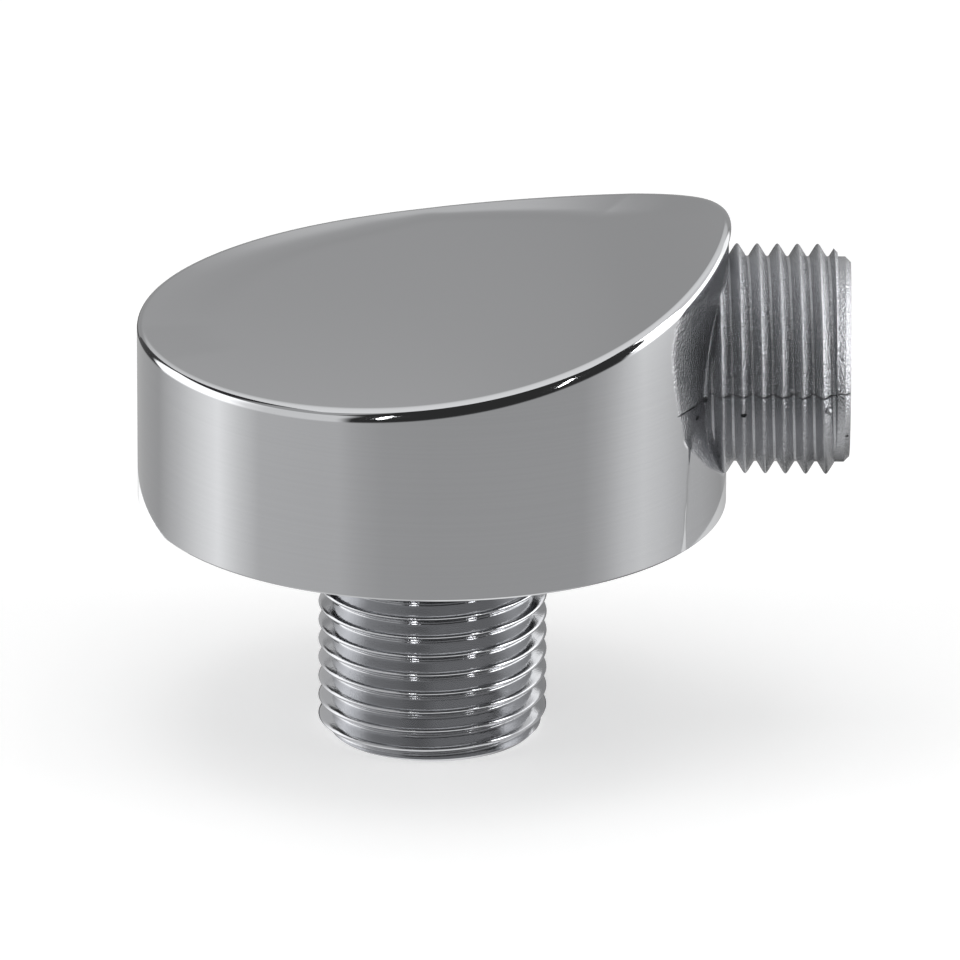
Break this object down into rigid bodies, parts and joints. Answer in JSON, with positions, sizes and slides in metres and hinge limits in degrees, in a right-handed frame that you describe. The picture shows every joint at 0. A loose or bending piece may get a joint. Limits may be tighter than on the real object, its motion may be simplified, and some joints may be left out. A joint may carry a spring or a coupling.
{
  "type": "shower wall outlet elbow",
  "caption": "Chromed one-piece wall outlet elbow: round drum body with a hollow sloping top, male threaded inlet stub behind it and male threaded hose outlet at the side",
  "frame": {"origin": "Centre of the flat wall face on the inlet axis.", "axes": "+Z out of the wall along the inlet axis, +X along the hose outlet, Y across."},
  "size_m": [0.0642, 0.0534, 0.0487],
  "materials": {
    "chromed_casting": "polished chrome plate over a metal casting"
  },
  "bodies": {
    "root": {"elbow_body": "chromed_casting"}
  },
  "joints": []
}
